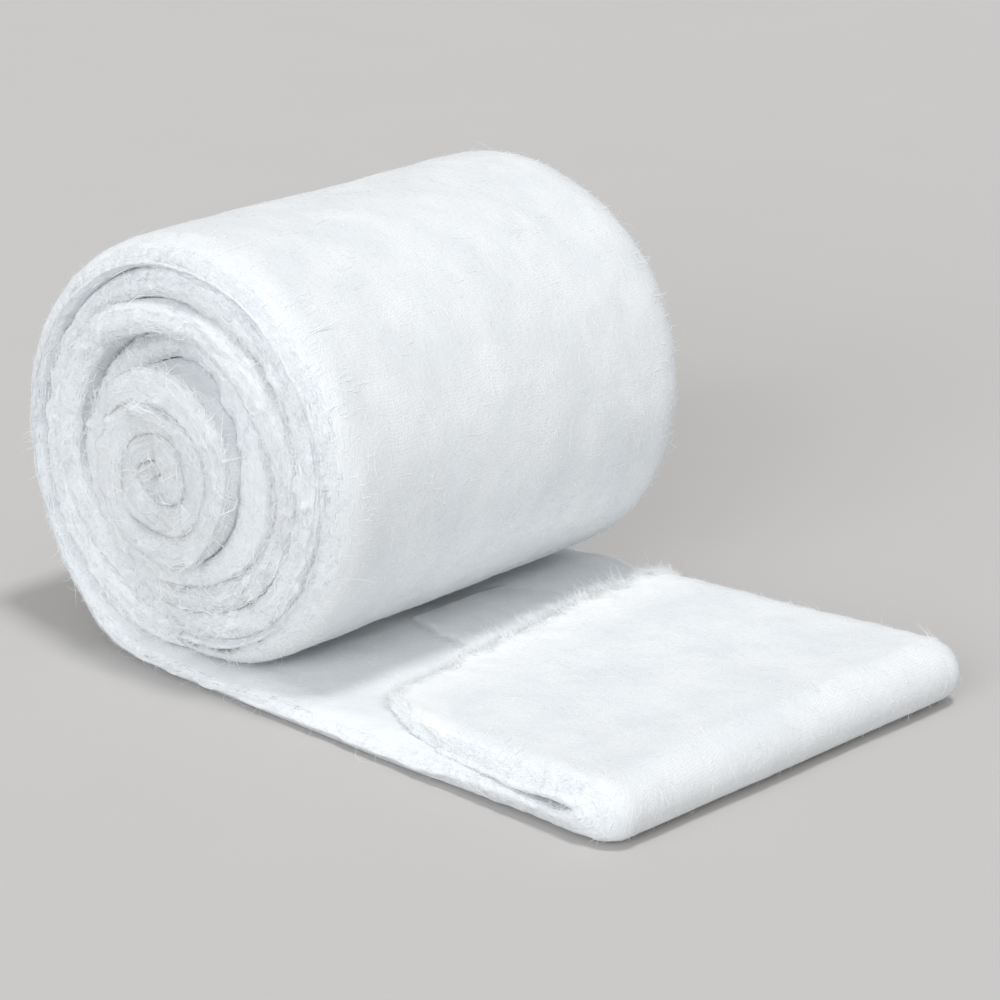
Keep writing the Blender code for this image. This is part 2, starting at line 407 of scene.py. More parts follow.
def linear(hex_colour):
    """An sRGB hex colour as linear red, green, blue and alpha."""
    parts = [int(hex_colour[i:i + 2], 16) / 255 for i in (1, 3, 5)]
    bent = [p / 12.92 if p <= 0.04045 else ((p + 0.055) / 1.055) ** 2.4 for p in parts]
    return (*bent, 1.0)


def set_inputs(node, inputs):
    """Sets sockets, by name or number, to a value or to another node's output."""
    for socket, source in inputs.items():
        if isinstance(source, bpy.types.NodeSocket):
            node.id_data.links.new(source, node.inputs[socket])
        else:
            node.inputs[socket].default_value = source


def add_node(tree, kind, inputs=None, out=0, **properties):
    """Adds a node with its properties, values and links, and gives one of its outputs."""
    node = tree.nodes.new("ShaderNode" + kind)
    for name, value in properties.items():
        setattr(node, name, value)
    set_inputs(node, inputs or {})
    return node.outputs[out]


def new_material(name):
    """A material with its node tree and its main shader."""
    material = bpy.data.materials.new(name)
    material.use_nodes = True
    return material, material.node_tree, material.node_tree.nodes["Principled BSDF"]


print("middle grey is", round(linear("#808080")[0], 3), "when linear")

# %% [markdown]
# ## Gauze cover
#
# The cover is bleached cotton gauze: fine yarns in an open plain weave, about a
# millimetre apart, lying on white wool that fills the gaps. So it gives the eye only a
# faint grid, matt, a little uneven, with no shine. The yarns could be modelled, but
# they cross hundreds of thousands of times, so two wave textures at right angles stand
# for them. The grid follows the cloth, so it is drawn in the cloth's own coordinates,
# which are stored in metres. Yarns stand 1.4 mm apart here, a little coarser than the
# real ones, so that the render can show them. The gaps between the yarns are painted
# darker than the yarns: painted shade on the wool that lies below them. Close to the
# torn end the gauze is pulled thin, and the cover there is painted a white paler than
# the wool: painted light on the lit torn end.

# %% Weave of the gauze
YARN_PITCH = 1.4 * MM
PATCH_SIZE = 26 * MM  # the weave shows more in some patches than in others
WAVE_PERIOD = 2 * math.pi / 20  # period of Blender's wave texture at scale 1

gauze, tree, shader = new_material("bleached_cotton_gauze")
cloth = add_node(tree, "UVMap", uv_map="cloth")
patches = add_node(tree, "TexNoise", {"Vector": cloth, "Scale": 1 / PATCH_SIZE, "Detail": 2.0})
yarns = [add_node(tree, "TexWave",
                  {"Vector": cloth, "Scale": WAVE_PERIOD / YARN_PITCH, "Distortion": 1.3,
                   "Detail": 2.0, "Detail Scale": 1.6, "Detail Roughness": 0.6},
                  bands_direction=direction, out=1) for direction in ("X", "Y")]
weave = add_node(tree, "Math", {0: yarns[0], 1: yarns[1]}, operation="MAXIMUM")
faint = add_node(tree, "MapRange", {"Value": patches, "From Min": 0.40, "From Max": 0.68,
                                    "To Min": 0.10, "To Max": 0.55})
# the weave's grid; its low gaps carry the painted shade below the yarns
grid = add_node(tree, "Math", {0: weave, 1: faint}, operation="MULTIPLY")
print("yarns", round(YARN_PITCH / MM, 1), "mm apart")

# %% Colour and surface of the gauze
# Towards the torn end the cover is painted a white paler than the wool: painted light on the lit
# torn end, where the gauze is also pulled thin.
WHITER_FROM, WHITER_TO = 4 * MM, 36 * MM  # from the torn end; past this the cover is whole
FELT_SIZE = 2.4 * MM

# yarns lighter, gaps darker: the dark gaps are painted shade on the wool below the yarns
tint = add_node(tree, "Mix",
                {"Factor": grid, MIX_FROM: linear("#E2E6E9"), MIX_TO: linear("#FAFCFC")},
                data_type="RGBA", out=2)
along = add_node(tree, "SeparateXYZ", {"Vector": cloth}, out="X")
# near the torn end this mixes the cover to the paler white of the painted light
thin_gauze_and_painted_light = add_node(tree, "MapRange",
                       {"Value": along, "From Min": WHITER_FROM, "From Max": WHITER_TO,
                        "To Min": 0.85, "To Max": 0.0})
cover_tint = add_node(tree, "Mix",
                      {"Factor": thin_gauze_and_painted_light, MIX_FROM: tint, MIX_TO: linear("#FEFEFD")},
                      data_type="RGBA", out=2)
felt = add_node(tree, "TexNoise", {"Vector": cloth, "Scale": 1 / FELT_SIZE, "Detail": 5.0,
                                   "Roughness": 0.65})
wool_bump = add_node(tree, "Bump", {"Height": felt, "Strength": 0.45, "Distance": 0.8 * MM})
yarn_bump = add_node(tree, "Bump", {"Height": grid, "Normal": wool_bump, "Strength": 0.4,
                                    "Distance": 0.3 * MM})
set_inputs(shader, {
    "Base Color": cover_tint, "Normal": yarn_bump, "Roughness": 0.95,
    "Specular IOR Level": 0.15, "Sheen Weight": 0.25, "Sheen Roughness": 0.6,
    "Subsurface Weight": 0.15, "Subsurface Radius": (1.0, 1.0, 1.0),
    "Subsurface Scale": 2 * MM})
print(gauze.name, len(tree.nodes), "nodes")

# %% [markdown]
# ## Cotton wool
#
# The wool is carded cotton: a web of short white fibres that mostly lie along the
# strip. Light goes deep into it, so its shadows are soft and pale, and it has no
# grain but the streaks of its fibres. A volume of real fibres would be far too heavy.
# Noise drawn out along the strip gives the streaks, and a rounder one the clumps.
# The same clump noise paints the hollows darker and the tops lighter: painted shade
# in the hollows of the clump bump.

# %% Cotton wool material
DRAWN_OUT = 0.18  # scale of the streaks along the strip against that across it
STREAK_SIZE, CLUMP_SIZE = 0.9 * MM, 5 * MM

wool, tree, shader = new_material("carded_cotton_wool")
cloth = add_node(tree, "UVMap", uv_map="cloth")
drawn_out = add_node(tree, "Mapping", {"Vector": cloth, "Scale": (DRAWN_OUT, 1.0, 1.0)})
streaks = add_node(tree, "TexNoise", {"Vector": drawn_out, "Scale": 1 / STREAK_SIZE,
                                      "Detail": 4.0, "Roughness": 0.6})
place = add_node(tree, "TexCoord", out="Object")
clumps = add_node(tree, "TexNoise", {"Vector": place, "Scale": 1 / CLUMP_SIZE, "Detail": 4.0})
# clump hollows darker, tops lighter: painted shade that follows the clump bump
tint = add_node(tree, "Mix",
                {"Factor": clumps, MIX_FROM: linear("#E6EDF4"), MIX_TO: linear("#F7FBFF")},
                data_type="RGBA", out=2)
clump_bump = add_node(tree, "Bump", {"Height": clumps, "Strength": 0.9, "Distance": 3 * MM})
streak_bump = add_node(tree, "Bump", {"Height": streaks, "Normal": clump_bump, "Strength": 0.9,
                                      "Distance": 1.2 * MM})
set_inputs(shader, {
    "Base Color": tint, "Normal": streak_bump, "Roughness": 1.0,
    "Specular IOR Level": 0.1, "Sheen Weight": 0.3, "Sheen Roughness": 0.7,
    "Subsurface Weight": 0.3, "Subsurface Radius": (1.0, 1.0, 1.0),
    "Subsurface Scale": 3 * MM})
print(wool.name, len(tree.nodes), "nodes")

# %% [markdown]
# ## Loose cotton
#
# Single fibres and yarns that stand free of the surface are the same cotton as the
# wool, and thin enough that light comes through them. They are painted whiter than the
# wool and the gauze they stand on: painted light on fibres that rise into the light.
# They keep a plain finish, because each is less than a pixel wide; what shows is how
# they lie.

# %% Loose fibre material
LIGHT_THROUGH = 0.35  # share of the light that comes through a fibre
SHADE_SIZE = 12 * MM

loose, tree, shader = new_material("loose_cotton_fibre_painted_lighter")
place = add_node(tree, "TexCoord", out="Object")
paler = add_node(tree, "TexNoise", {"Vector": place, "Scale": 1 / SHADE_SIZE, "Detail": 2.0})
# whiter than the wool and the gauze: painted light on the raised fibres
tint = add_node(tree, "Mix",
                {"Factor": paler, MIX_FROM: linear("#F5F8F9"), MIX_TO: linear("#FEFEFE")},
                data_type="RGBA", out=2)
set_inputs(shader, {"Base Color": tint, "Roughness": 0.9, "Specular IOR Level": 0.15,
                    "Sheen Weight": 0.4})
glow = add_node(tree, "BsdfTranslucent", {"Color": tint})
through = add_node(tree, "MixShader", {0: LIGHT_THROUGH, 1: shader.outputs[0], 2: glow})
set_inputs(tree.nodes["Material Output"], {"Surface": through})
print(loose.name, len(tree.nodes), "nodes")

# %% [markdown]
# ## The strip itself
#
# The solid is one piece, and so is the real strip. The fine mesh is made in two
# stretches that meet under the roll, where nobody sees the join: the loose end with
# the outermost turn, which needs points all over, and the turns inside it, which show
# only at their edges and need few points between them. Each is a tube of rings with a
# cap at either end. Its cloth coordinates are distances measured on the surface, so
# that the weave is not stretched anywhere.

# %% Faces and cloth coordinates of a stretch
def add_piece(name, points, faces, materials):
    """A smooth mesh as a piece of the roll."""
    mesh = bpy.data.meshes.new(name)
    mesh.from_pydata(points.reshape(-1, 3), [], faces)
    mesh.shade_smooth()
    for material in materials:
        mesh.materials.append(material)
    piece = bpy.data.objects.new(name, mesh)
    bpy.context.scene.collection.objects.link(piece)
    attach(piece, "root")
    return piece


def add_cloth_map(mesh, corners):
    """Stores cloth coordinates, one pair for each face corner."""
    uv = np.zeros((len(mesh.loops), 2), dtype=np.float32)
    uv[:len(corners)] = corners
    mesh.uv_layers.new(name="cloth").data.foreach_set("uv", uv.ravel())


def grid_faces(rows, cols):
    """Quads of an open grid of points."""
    index = np.arange(rows * cols).reshape(rows, cols)
    quads = np.stack([index[:-1, :-1], index[1:, :-1], index[1:, 1:], index[:-1, 1:]], axis=-1)
    return quads.reshape(-1, 4)


def tube_faces(rows, ring):
    """Quads between neighbouring rings of points."""
    index = np.arange(rows * ring).reshape(rows, ring)
    beside = np.roll(index, -1, axis=1)
    return np.stack([index[:-1], beside[:-1], beside[1:], index[1:]], axis=-1).reshape(-1, 4)


def cap_faces(row, count, turn):
    """Faces that close one end: quads between the two faces and a fan at either edge."""
    last = 2 * count + NOSE_POINTS - 1
    caps = [[row[i], row[i + 1], row[last - 1 - i], row[last - i]] for i in range(count - 1)]
    caps += [list(row[count - 1:count + NOSE_POINTS + 1]), [*row[last:], row[0]]]
    return [[int(point) for point in cap[::turn]] for cap in caps]


def cloth_corners(smooth):
    """Cloth coordinates of the quads' corners: distance along and round the strip."""
    steps = np.linalg.norm(np.diff(smooth, axis=0), axis=2)
    down = np.concatenate([np.zeros((1, smooth.shape[1])), np.cumsum(steps, axis=0)])
    steps = np.linalg.norm(np.roll(smooth, -1, axis=1) - smooth, axis=2).mean(axis=0)
    ring = np.concatenate([[0.0], np.cumsum(steps)])
    beside = np.roll(down, -1, axis=1)
    u = np.stack([down[:-1], beside[:-1], beside[1:], down[1:]], axis=-1)
    v = np.stack([ring[:-1], ring[1:], ring[1:], ring[:-1]], axis=-1)
    return np.stack([u, np.broadcast_to(v, u.shape)], axis=-1).reshape(-1, 2)


print("a tube of 3 rings of 8 points has", len(tube_faces(3, 8)), "quads")

# %% Build both stretches
WOOL_BELOW = 2.6 * MM  # closer to a cut edge than this, wool shows instead of gauze
WOOL_RAGGED, RAGS_SIZE = 1.3 * MM, 5 * MM  # how far, and at what size, that line wanders
RAGS_SEED = 23
TORN_WOOL = 0.02  # wool shows up to this path from the torn end too
JOIN_PATH = 4.0


def strip_piece(name, start, end, spacing, edge_steps, middle_steps):
    """A closed mesh of the pad between two path values, with relief, cloth map and finish."""
    path, along = even_path(start, end, spacing)
    columns = ring_columns(edge_steps, middle_steps)
    across = ring_across(columns)
    inset = np.minimum(across, STRIP_WIDTH - across)[None, :]
    smooth = pad_points(path, columns)
    points = with_relief(smooth, inset, path)
    rows, ring, count = len(path), len(across), len(columns)
    quads = tube_faces(rows, ring).tolist()
    caps = (cap_faces(np.arange(ring), count, -1)
            + cap_faces(np.arange(ring) + (rows - 1) * ring, count, 1))
    piece = add_piece(name, points, quads + caps, (gauze, wool))
    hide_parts(SOLID)
    add_cloth_map(piece.data, cloth_corners(smooth))
    wander = WOOL_RAGGED * value_noise(points[:-1], RAGS_SIZE, RAGS_SEED)
    uncovered = inset + wander < WOOL_BELOW
    show_wool = (uncovered | (path[:-1, None] < TORN_WOOL)).reshape(-1)
    finish = np.concatenate([show_wool, np.ones(len(caps), dtype=bool)])
    piece.data.polygons.foreach_set("material_index", finish.astype(np.int32))
    piece.data.update()
    print(name, rows, "stations", len(quads) * 2, "triangles", round(along[-1], 3), "m long")
    return piece, {"path": path, "along": along, "across": across, "points": points,
                   "normals": grid_normals(points), "count": count}


outer_turn, outer_grid = strip_piece("outer_turn_and_loose_end", 0.0, JOIN_PATH, 2.3 * MM, 9, 66)
inner_turns, inner_grid = strip_piece("inner_turns", JOIN_PATH, 3 + TURNS, 1.5 * MM, 12, 3)

# %% [markdown]
# ## Fibres
#
# Each fibre is a narrow ribbon of a few segments that starts in the surface, arches a
# little above it and comes back. A hair system would draw them too, but ribbons are
# plain meshes that go with the part. Real fibres are 0.02 mm thick, and a gauze yarn
# about 0.2 mm. The ribbons are 0.16 to 0.25 mm wide for fibres and 0.36 to 0.45 mm for
# threads, so that the thousands drawn here look like the many more real ones.

# %% Ribbons
ROOT_DEPTH = 0.1 * MM  # how deep both ends of a fibre lie in the surface
ABOVE_FLOOR = 0.1 * MM
LIFTS = (0.4, 1.5)  # shares of the given lift and width that fibres may have
WIDTHS = (0.7, 1.3)
TWIST = 0.4  # radians
TAPER = 0.75  # share of its width that a fibre loses towards its tip


def sample(grid_data, rows, cols):
    """Position, normal and the direction along the strip at fractional grid places."""
    points, normals = grid_data["points"], grid_data["normals"]
    i = np.clip(rows.astype(int), 0, points.shape[0] - 2)
    j = np.floor(cols).astype(int)
    u, v = (rows - i)[:, None], (cols - j)[:, None]
    next_j = (j + 1) % points.shape[1]
    j = j % points.shape[1]
    low = mix(points[i, j], points[i, next_j], v)
    high = mix(points[i + 1, j], points[i + 1, next_j], v)
    along = high - low
    along /= np.linalg.norm(along, axis=1, keepdims=True) + 1e-12
    return mix(low, high, u), normals[i, j], along


def fibres(name, roots, normals, headings, lengths, lift, bend, width, rng, segments=3):
    """One mesh of ribbons, each from its root along its heading."""
    total = len(roots)
    steps = np.linspace(0, 1, segments + 1)[None, :, None]
    side = np.cross(headings, normals)
    bends = rng.normal(0, bend, total)[:, None, None]
    lifts = lift * rng.uniform(*LIFTS, total)[:, None, None]
    reach = lengths[:, None, None]
    line = (roots[:, None] + headings[:, None] * steps * reach
            + side[:, None] * bends * reach * (steps - steps ** 2) * 2
            + normals[:, None] * (lifts * 4 * steps * (1 - steps) - ROOT_DEPTH))
    line[..., 2] = np.maximum(line[..., 2], ABOVE_FLOOR)
    twist = rng.uniform(-TWIST, TWIST, total)[:, None, None]
    flat = side[:, None] * np.cos(twist) + normals[:, None] * np.sin(twist)
    half = width / 2 * (1 - TAPER * steps) * rng.uniform(*WIDTHS, total)[:, None, None]
    points = np.stack([line - flat * half, line + flat * half], axis=2)
    index = np.arange(total * (segments + 1) * 2).reshape(total, segments + 1, 2)
    quads = np.stack([index[:, :-1, 0], index[:, 1:, 0], index[:, 1:, 1], index[:, :-1, 1]],
                     axis=-1).reshape(-1, 4)
    print(name, total, "fibres", len(quads) * 2, "triangles")
    return add_piece(name, points, quads.tolist(), (loose,))


print("a fibre loses", TAPER, "of its width towards its tip")

# %% Where fibres may grow
def turned(headings, normals, angles):
    """Headings turned about their normals."""
    side = np.cross(normals, headings)
    return headings * np.cos(angles)[:, None] + side * np.sin(angles)[:, None]


def column_chances(grid_data, inset_range, faces, half):
    """How likely a fibre is at each ring point: even over the allowed surface."""
    across, count = grid_data["across"], grid_data["count"]
    inset = np.minimum(across, STRIP_WIDTH - across)
    span = {"outer": (0, count), "back": (count, count + NOSE_POINTS),
            "inner": (count + NOSE_POINTS, 2 * count + NOSE_POINTS),
            "front": (2 * count + NOSE_POINTS, len(across))}
    allowed = np.zeros(len(across), dtype=bool)
    for face in faces:
        allowed[slice(*span[face])] = True
    allowed &= (inset >= inset_range[0] * MM) & (inset <= inset_range[1] * MM)
    if half:
        allowed &= (across < HALF_WIDTH) == (half == "front")
    rings = grid_data["points"][:: max(len(grid_data["path"]) // 50, 1)]
    gap = np.linalg.norm(np.roll(rings, -1, axis=1) - rings, axis=2).mean(axis=0)
    chances = np.where(allowed, gap, 0.0)
    return chances / chances.sum()


print("inner turns:", len(inner_grid["path"]), "rings to sow on")

# %% [markdown]
# ## Fluff on the surface
#
# The cover is rubbed: short threads of its yarns lie along and across it, with finer
# fuzz between them. The roll's ends and the torn end are bare wool, so their fluff is
# thick and stands higher, and most of it runs along the strip, as carded wool does.
# A displaced surface alone looks like plaster there; it is the fibres that look soft.

# %% Sowing
ALL_FACES = ("outer", "inner", "front", "back")
SEEN_FACES = ("outer", "front", "back")
LENGTH_SPREAD = 0.35


def sow(name, grid_data, amount, path_range, inset_range, length, lift, bend, width, spread,
        seed, faces=ALL_FACES, half=None, crosswise=0.5, crowd=1.0):
    """Fibres at random over the part of a stretch that the ranges and faces give, in mm."""
    rng = np.random.default_rng(seed)
    chances = column_chances(grid_data, inset_range, faces, half)
    cols = rng.choice(len(chances), amount, p=chances) + rng.uniform(0, 1, amount)
    first, last = np.searchsorted(grid_data["path"], path_range)
    rows = mix(first, max(last - 1, first + 1), rng.uniform(0, 1, amount) ** crowd)
    roots, normals, along = sample(grid_data, rows, cols)
    across_strip = rng.normal(0, spread, amount)
    angles = across_strip + np.where(rng.uniform(0, 1, amount) < crosswise, math.pi / 2, 0)
    angles += np.where(rng.uniform(0, 1, amount) < 0.5, math.pi, 0)
    headings = turned(along, normals, angles)
    lengths = length * MM * rng.lognormal(0, LENGTH_SPREAD, amount)
    return fibres(name, roots, normals, headings, lengths, lift * MM, bend, width * MM, rng)


print("sowing on", len(ALL_FACES), "faces")

# %% Each kind of fluff
COVER = (3.1, 3.99)  # path from and to
LAST_OF_OUTER_TURN = (3.6, 3.995)
TURNED_IN = (JOIN_PATH, 3 + TURNS)
EDGE = (0, 2.5)  # mm from a cut edge
WHOLE = (0, 1000)
fluff = [
    sow("threads_on_cover", outer_grid, 9000, COVER, (3, 1000), length=6, lift=0.35, bend=0.15,
        width=0.45, spread=0.10, seed=20, faces=("outer",), crosswise=0.55),
    sow("fuzz_on_cover", outer_grid, 9000, COVER, (2, 1000), length=5, lift=0.45, bend=0.5,
        width=0.16, spread=0.45, seed=21, faces=("outer",)),
    sow("threads_on_doubled_layer", outer_grid, 4000, (0.0, 1.9), WHOLE, length=5, lift=0.30,
        bend=0.25, width=0.36, spread=0.30, seed=26, faces=SEEN_FACES, crosswise=0.3),
    sow("fuzz_on_doubled_layer", outer_grid, 7000, (0.0, 1.95), WHOLE, length=5, lift=0.5,
        bend=0.5, width=0.16, spread=0.5, seed=22, faces=SEEN_FACES, crosswise=0.35),
    sow("fuzz_near_torn_end", outer_grid, 4500, (0.0, 0.6), WHOLE, length=5, lift=0.7, bend=0.5,
        width=0.20, spread=0.5, seed=29, faces=SEEN_FACES, crosswise=0.2, crowd=1.8),
    sow("fuzz_on_lower_layer", outer_grid, 6000, (2.0, 3.1), WHOLE, length=6, lift=0.35,
        bend=0.5, width=0.16, spread=0.4, seed=23, faces=("inner", "front", "back")),
    sow("fluff_at_front_end", inner_grid, 22000, TURNED_IN, EDGE, length=6, lift=1.0, bend=0.5,
        width=0.20, spread=0.45, seed=24, half="front", crosswise=0.25),
    sow("threads_at_front_end", inner_grid, 5000, TURNED_IN, EDGE, length=7, lift=0.6, bend=0.6,
        width=0.40, spread=0.22, seed=28, half="front", crosswise=0.08),
    sow("fluff_at_back_end", inner_grid, 10000, TURNED_IN, EDGE, length=6, lift=0.9, bend=0.5,
        width=0.25, spread=0.45, seed=27, half="back", crosswise=0.25),
    sow("fluff_before_front_end", outer_grid, 1400, LAST_OF_OUTER_TURN, EDGE, length=6, lift=1.0,
        bend=0.5, width=0.20, spread=0.45, seed=30, half="front", crosswise=0.25, crowd=0.5),
    sow("fluff_before_back_end", outer_grid, 600, LAST_OF_OUTER_TURN, EDGE, length=6, lift=0.9,
        bend=0.5, width=0.25, spread=0.45, seed=31, half="back", crosswise=0.25, crowd=0.5),
    sow("fluff_at_outer_rim", outer_grid, 10000, (3.0, 3.99), (0, 18), length=4, lift=0.4,
        bend=0.5, width=0.20, spread=0.5, seed=25, crosswise=0.4),
]

# %% [markdown]
# ## Torn end
#
# Padding is torn, not cut, so its end is a fringe: fibres pulled out of the web point
# the way they were pulled, some in tufts. Hair could be combed into that shape by hand.
# Here they are sown along the end of the strip with their headings away from it, and
# both lengths and headings follow soft noises, which makes the tufts.

# %% Fibres pulled out of the torn end
TUFT_SIZE, TUFT_SEED = 5 * MM, 33
COMB_SIZE, COMB_SEED = 8 * MM, 34


def fringe(name, amount, depth, length, lift, width, seed):
    """Fibres rooted within depth stations of the torn end, pulled away from it in tufts."""
    rng = np.random.default_rng(seed)
    cols = rng.uniform(0, outer_grid["count"], amount)
    rows = rng.uniform(0, 1, amount) ** 1.5 * depth
    roots, normals, along = sample(outer_grid, rows, cols)
    tuft = value_noise(roots * [0, 1, 0], TUFT_SIZE, TUFT_SEED)
    combed = value_noise(roots * [0, 1, 0], COMB_SIZE, COMB_SEED)
    sideways = rng.normal(0, 0.4, amount) + 0.6 * combed
    headings = -along + np.array([0.0, 1.0, 0.0]) * sideways[:, None]
    headings += np.array([0.0, 0.0, 1.0]) * rng.normal(0.15, 0.25, amount)[:, None]
    headings /= np.linalg.norm(headings, axis=1, keepdims=True)
    lengths = length * MM * (1 + 0.6 * tuft) * rng.lognormal(0, LENGTH_SPREAD, amount)
    return fibres(name, roots, normals, headings, lengths, lift * MM, 0.5, width * MM, rng)


fluff.append(fringe("fringe_of_torn_end", 16000, 4, length=4.2, lift=1.0, width=0.22, seed=32))
fluff.append(fringe("long_fibres_of_torn_end", 1800, 3, length=7, lift=1.4, width=0.22, seed=35))

# %% [markdown]
# ## A thin ply left on the lower layer
#
# Where the end was torn, a thin ply of wool stayed on the layer below. It shows as a
# faint edge that runs from the roll to the torn end, with a few fibres drawn out of it.
# The layer under it could be raised there, but its points are too far apart for so
# ragged an edge. So the ply is a closed sheet half a millimetre thick that follows the
# layer. Its cloth coordinates start at its ragged edge, so that the torn end's painted
# light, a paler white, lightens its edge, where the gauze is pulled thin.

# %% Thin ply
PLY_EDGE = {40: -14, 48: -16, 59: -19, 70: -17.5, 78: -21, 88: -25.5, 97: -26}
PLY_RAGS = ((1.6, 8, 71), (0.8, 3, 72))  # height in mm, size in mm, seed
PLY_START, PLY_END = 40 * MM, 97 * MM
PLY_BACK = 60 * MM
PLY_THICK = 0.5 * MM
PLY_RISE = 5 * MM  # distance from its edge over which it rises
PLY_FROM_TORN = 24 * MM  # where its edge lies on the cloth, counted from a torn end


def sheet_faces(rows, cols):
    """Faces of a closed sheet whose lower points follow its upper ones."""
    index = np.arange(rows * cols).reshape(rows, cols)
    quads = grid_faces(rows, cols)
    rim = np.concatenate([index[:, 0], index[-1, 1:], index[-2::-1, -1], index[0, -2:0:-1]])
    ahead = np.roll(rim, -1)
    lower = rows * cols
    side = np.stack([rim, rim + lower, ahead + lower, ahead], axis=-1)
    return np.concatenate([quads, quads[:, ::-1] + lower, side])


def ply_sheet(name):
    """The thin ply, and its upper points."""
    u, v = np.meshgrid(np.linspace(PLY_START, PLY_END, 56), np.linspace(0, 1, 60) ** 1.5,
                       indexing="ij")
    front = from_table(u, PLY_EDGE) + lumpy_line(u, PLY_RAGS) * MM
    y = mix(front, PLY_BACK, v)
    tail = np.stack([u, y, from_table(u, TAIL_TOP)], axis=-1)
    soft = relief(tail, np.full_like(u, HALF_WIDTH), np.full(u.shape[0], 2.5))
    # 0.5 mm above the layer at its edge, 1.5 mm behind it, and sunk in at its back
    above = 0.5 + 1.0 * ease((y - front) / PLY_RISE) - 1.9 * ease((v - 0.5) * 2)
    upper = np.stack([u, y, tail[..., 2] + soft + above * MM], axis=-1)
    faces = sheet_faces(*u.shape)
    both = np.concatenate([upper.reshape(-1, 3), (upper - [0, 0, PLY_THICK]).reshape(-1, 3)])
    piece = add_piece(name, both, faces.tolist(), (gauze,))
    # the ply's edge lies in the torn end's painted light, so it is painted whiter
    flat = np.stack([y - front + PLY_FROM_TORN, u], axis=-1).reshape(-1, 2)
    flat = np.tile(flat, (2, 1))
    add_cloth_map(piece.data, flat[faces.reshape(-1)])
    return piece, upper


ply, ply_top = ply_sheet("thin_ply")
print("thin ply", len(ply.data.polygons), "faces")

# %% Fibres of the ply, and the long wisp
PLY_FIBRES = 1500
WISP_FIBRES = 60
UP = [0.0, 0.0, 1.0]

rng = np.random.default_rng(73)
picked = ply_top[rng.integers(0, ply_top.shape[0], PLY_FIBRES), rng.integers(0, 8, PLY_FIBRES)]
facing_up = np.tile(UP, (PLY_FIBRES, 1))
headings = turned(np.tile([0.0, -1.0, 0.0], (PLY_FIBRES, 1)), facing_up,
                  rng.normal(0, 0.8, PLY_FIBRES))
lengths = 2.5 * MM * rng.lognormal(0, 0.4, PLY_FIBRES)
fluff.append(fibres("fibres_of_thin_ply", picked, facing_up, headings, lengths,
                    0.4 * MM, 0.4, 0.16 * MM, rng))
roots = (np.array([90, 56, 15]) * MM
         + rng.normal(0, 1, (WISP_FIBRES, 3)) * np.array([1.5, 2.5, 0.3]) * MM)
headings = np.array([-0.32, 0.94, 0.03]) + rng.normal(0, 0.05, (WISP_FIBRES, 3))
headings /= np.linalg.norm(headings, axis=1, keepdims=True)
lengths = 22 * MM * rng.uniform(0.5, 1.1, WISP_FIBRES)
fluff.append(fibres("wisp_at_torn_end", roots, np.tile(UP, (WISP_FIBRES, 1)), headings, lengths,
                    1.2 * MM, 0.12, 0.2 * MM, rng, segments=6))

# %% [markdown]
# ## Cut edges of the gauze
#
# Where the roll was cut to width, each layer of gauze ends in a limp, wavy edge that
# stands a little out of the wool between two turns and catches the light. It is a
# ribbon along the turns' corners, its height and lean changing along the way. It is
# lower at the side away from the loose end, where the cover was stroked down. Cloth
# simulation would need a much finer mesh for the same edge.

# %% Gauze edges at both ends of the roll
GAUZE_EDGES = (  # inset in mm, face, stretch, path from and to, height in mm
    (1.2, "outer", inner_grid, 4.1, 7.2, 3.0), (2.4, "outer", inner_grid, 4.1, 6.4, 2.6),
    (1.0, "inner", inner_grid, 4.1, 6.6, 2.2), (1.0, "inner", outer_grid, 3.25, 3.9, 2.2),
    (2.6, "inner", outer_grid, 3.25, 3.9, 2.6))
ROOTED = 0.6 * MM  # how deep the edge starts in the wool
FADE = 0.12  # path over which an edge rises and falls at its ends
LOWEST = 0.05 * MM
STROKED = 0.35  # share of the height that is left where the cover was stroked down
STROKED_X, STROKED_BLEND = 40 * MM, 60 * MM  # how far behind the axis, and how gradually


def gauze_edge(name, grid_data, column, way, start, end, height, seed):
    """A wavy ribbon that stands out of the roll's end along one column of the strip."""
    keep = (grid_data["path"] >= start) & (grid_data["path"] <= end)
    path = grid_data["path"][keep]
    base = grid_data["points"][keep, column]
    lean = grid_data["normals"][keep, column] * [1, 0, 1]
    lean /= np.linalg.norm(lean, axis=1, keepdims=True) + 1e-9
    tall = height * (0.5 + 0.6 * value_noise(base, 11 * MM, seed)
                     + 0.35 * value_noise(base, 3 * MM, seed + 1))
    tall = tall * mix(STROKED, 1.0, ease((base[:, 0] + STROKED_X) / STROKED_BLEND))
    fade = ease((path - start) / FADE) * ease((end - path) / FADE)
    tall = np.maximum(tall * fade, LOWEST)
    sway = (0.9 * MM * value_noise(base, 6 * MM, seed + 2)
            + 0.5 * MM * value_noise(base, 2.6 * MM, seed + 3))
    levels = np.linspace(0, 1, 4)[None, :, None]
    out = np.array([0.0, way, 0.0])
    sheet = (base[:, None] - out * ROOTED + out * tall[:, None, None] * levels
             + lean[:, None] * sway[:, None, None] * levels ** 1.5)
    # the ribbon takes the loose fibres' material, painted whiter than the wool: painted light on
    # the raised gauze edge
    return add_piece(name, sheet, grid_faces(*sheet.shape[:2]).tolist(), (loose,))


def column_at(grid_data, inset, side, end):
    """The ring column nearest to this distance from the front or back edge of a face."""
    across, count = grid_data["across"], grid_data["count"]
    target = inset if end == "front" else STRIP_WIDTH - inset
    first = 0 if side == "outer" else count + NOSE_POINTS
    return first + int(np.argmin(np.abs(across[first:first + count] - target)))


